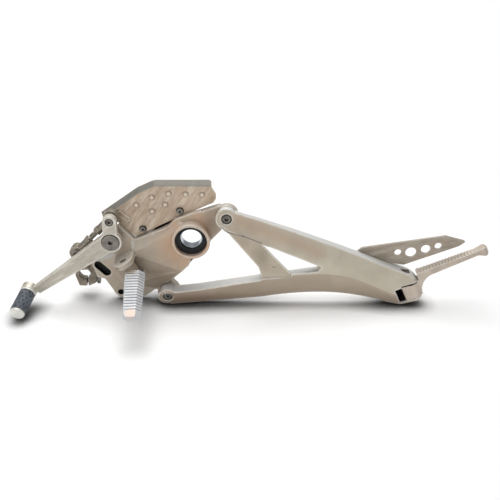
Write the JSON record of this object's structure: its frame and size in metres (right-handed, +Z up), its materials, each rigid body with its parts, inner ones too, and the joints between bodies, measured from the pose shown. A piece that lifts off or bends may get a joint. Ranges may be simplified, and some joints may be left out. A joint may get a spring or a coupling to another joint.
{
  "type": "motorcycle footrest bracket assembly",
  "caption": "Left-hand motorcycle footrest carrier with gear lever and linkage, sprung rider's footrest, heel guards and a cast hanger with a folding passenger's footrest.",
  "frame": {"origin": "on the axis of the pivot bore, in the inboard mounting face", "axes": "+X to the rear of the motorcycle, +Y inboard along the pivot bore, +Z up"},
  "size_m": [0.6231, 0.1388, 0.173],
  "materials": {
    "carrier_casting": "blasted, warm grey",
    "hanger_casting": "blasted, warm grey",
    "guard_alloy": "satin",
    "rear_guard_alloy": "satin",
    "lever_alloy": "worn satin",
    "toe_alloy": "satin",
    "peg_alloy": "bright satin",
    "rear_peg_alloy": "satin",
    "bush_rubber": "matt black",
    "toe_rubber": "matt blue-black",
    "sleeve_steel": "machined",
    "fastener_steel": "dark zinc",
    "disc_steel": "worn, dark",
    "rod_end_steel": "dull zinc",
    "rod_steel": "dull zinc",
    "arm_steel": "forged, dull",
    "pin_steel": "turned",
    "ball_steel": "polished",
    "bush_brass": "plain bearing bronze"
  },
  "bodies": {
    "carrier": {"carrier_plate": "carrier_casting", "pivot_bush": "bush_rubber", "pivot_sleeve": "sleeve_steel", "heel_guard": "guard_alloy", "heel_guard_screws": "fastener_steel", "passenger_hanger": "hanger_casting", "hanger_bolts": "fastener_steel", "hanger_nuts": "fastener_steel", "passenger_heel_guard": "rear_guard_alloy", "passenger_guard_screws": "fastener_steel", "lever_pivot_bolt": "disc_steel", "lever_pivot_washer": "fastener_steel", "rider_peg_pin": "pin_steel", "rider_peg_clip": "pin_steel", "rider_peg_spring": "rod_steel", "passenger_peg_pin": "pin_steel", "passenger_peg_clip": "pin_steel"},
    "gear_lever": {"gear_lever": "lever_alloy", "lever_bush": "bush_brass", "toe_peg": "toe_alloy", "toe_rubber": "toe_rubber", "toe_peg_screw": "fastener_steel", "upper_link_bolt": "fastener_steel", "upper_link_nut": "fastener_steel", "upper_ball": "ball_steel"},
    "link_rod": {"link_rod": "rod_steel", "upper_rod_end": "rod_end_steel", "lower_rod_end": "rod_end_steel", "rod_lock_nuts": "rod_end_steel"},
    "shaft_arm": {"shaft_arm": "arm_steel", "lower_ball": "ball_steel", "lower_link_bolt": "fastener_steel", "lower_link_nut": "fastener_steel", "pinch_bolt": "fastener_steel"},
    "rider_peg": {"rider_peg": "peg_alloy"},
    "passenger_peg": {"passenger_peg": "rear_peg_alloy"}
  },
  "joints": [
    {"name": "gear_lever_pivot", "type": "hinge", "parent": "carrier", "child": "gear_lever", "pos_m": [-0.1025, -0.0275, 0.003], "axis": [0, 1, 0], "range_deg": [-8, 8]},
    {"name": "rod_upper_pivot", "type": "hinge", "parent": "gear_lever", "child": "link_rod", "pos_m": [-0.1018, -0.0155, 0.0319], "axis": [0, -1, 0], "range_deg": [-8, 6]},
    {"name": "rod_lower_pivot", "type": "hinge", "parent": "link_rod", "child": "shaft_arm", "pos_m": [-0.151, -0.0155, -0.019], "axis": [0, 1, 0], "range_deg": [-6, 6]},
    {"name": "rider_peg_fold", "type": "hinge", "parent": "carrier", "child": "rider_peg", "pos_m": [-0.0886, -0.034, -0.0215], "axis": [-0.4226, 0, 0.9063], "range_deg": [0, 60], "stiffness_Nm_per_rad": 0.3, "springref_deg": -28.65},
    {"name": "passenger_peg_fold", "type": "hinge", "parent": "carrier", "child": "passenger_peg", "pos_m": [0.2812, -0.0205, -0.0425], "axis": [-0.4147, 0, 0.91], "range_deg": [-90, 0]}
  ]
}
